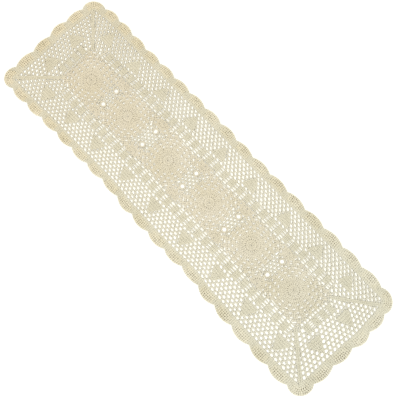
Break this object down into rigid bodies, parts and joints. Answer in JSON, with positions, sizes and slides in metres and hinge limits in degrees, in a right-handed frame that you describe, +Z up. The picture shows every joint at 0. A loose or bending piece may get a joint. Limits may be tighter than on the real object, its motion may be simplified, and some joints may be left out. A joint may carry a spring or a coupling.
{
  "type": "crocheted table runner",
  "caption": "Long flat crocheted cotton table runner: a row of joined round medallions, bands of solid and open blocks, chain mesh with solid peaks, and a scalloped shell edging.",
  "frame": {"origin": "middle of the underside, at the centre of the box round the scalloped outline", "axes": "+X along the length of the runner, +Y across it towards its straighter long edge, +Z up out of the surface it lies on"},
  "size_m": [1.2084, 0.3746, 0.0022],
  "materials": {
    "cotton": "matt natural cotton thread, ecru"
  },
  "bodies": {
    "root": {"runner": "cotton"}
  },
  "joints": []
}
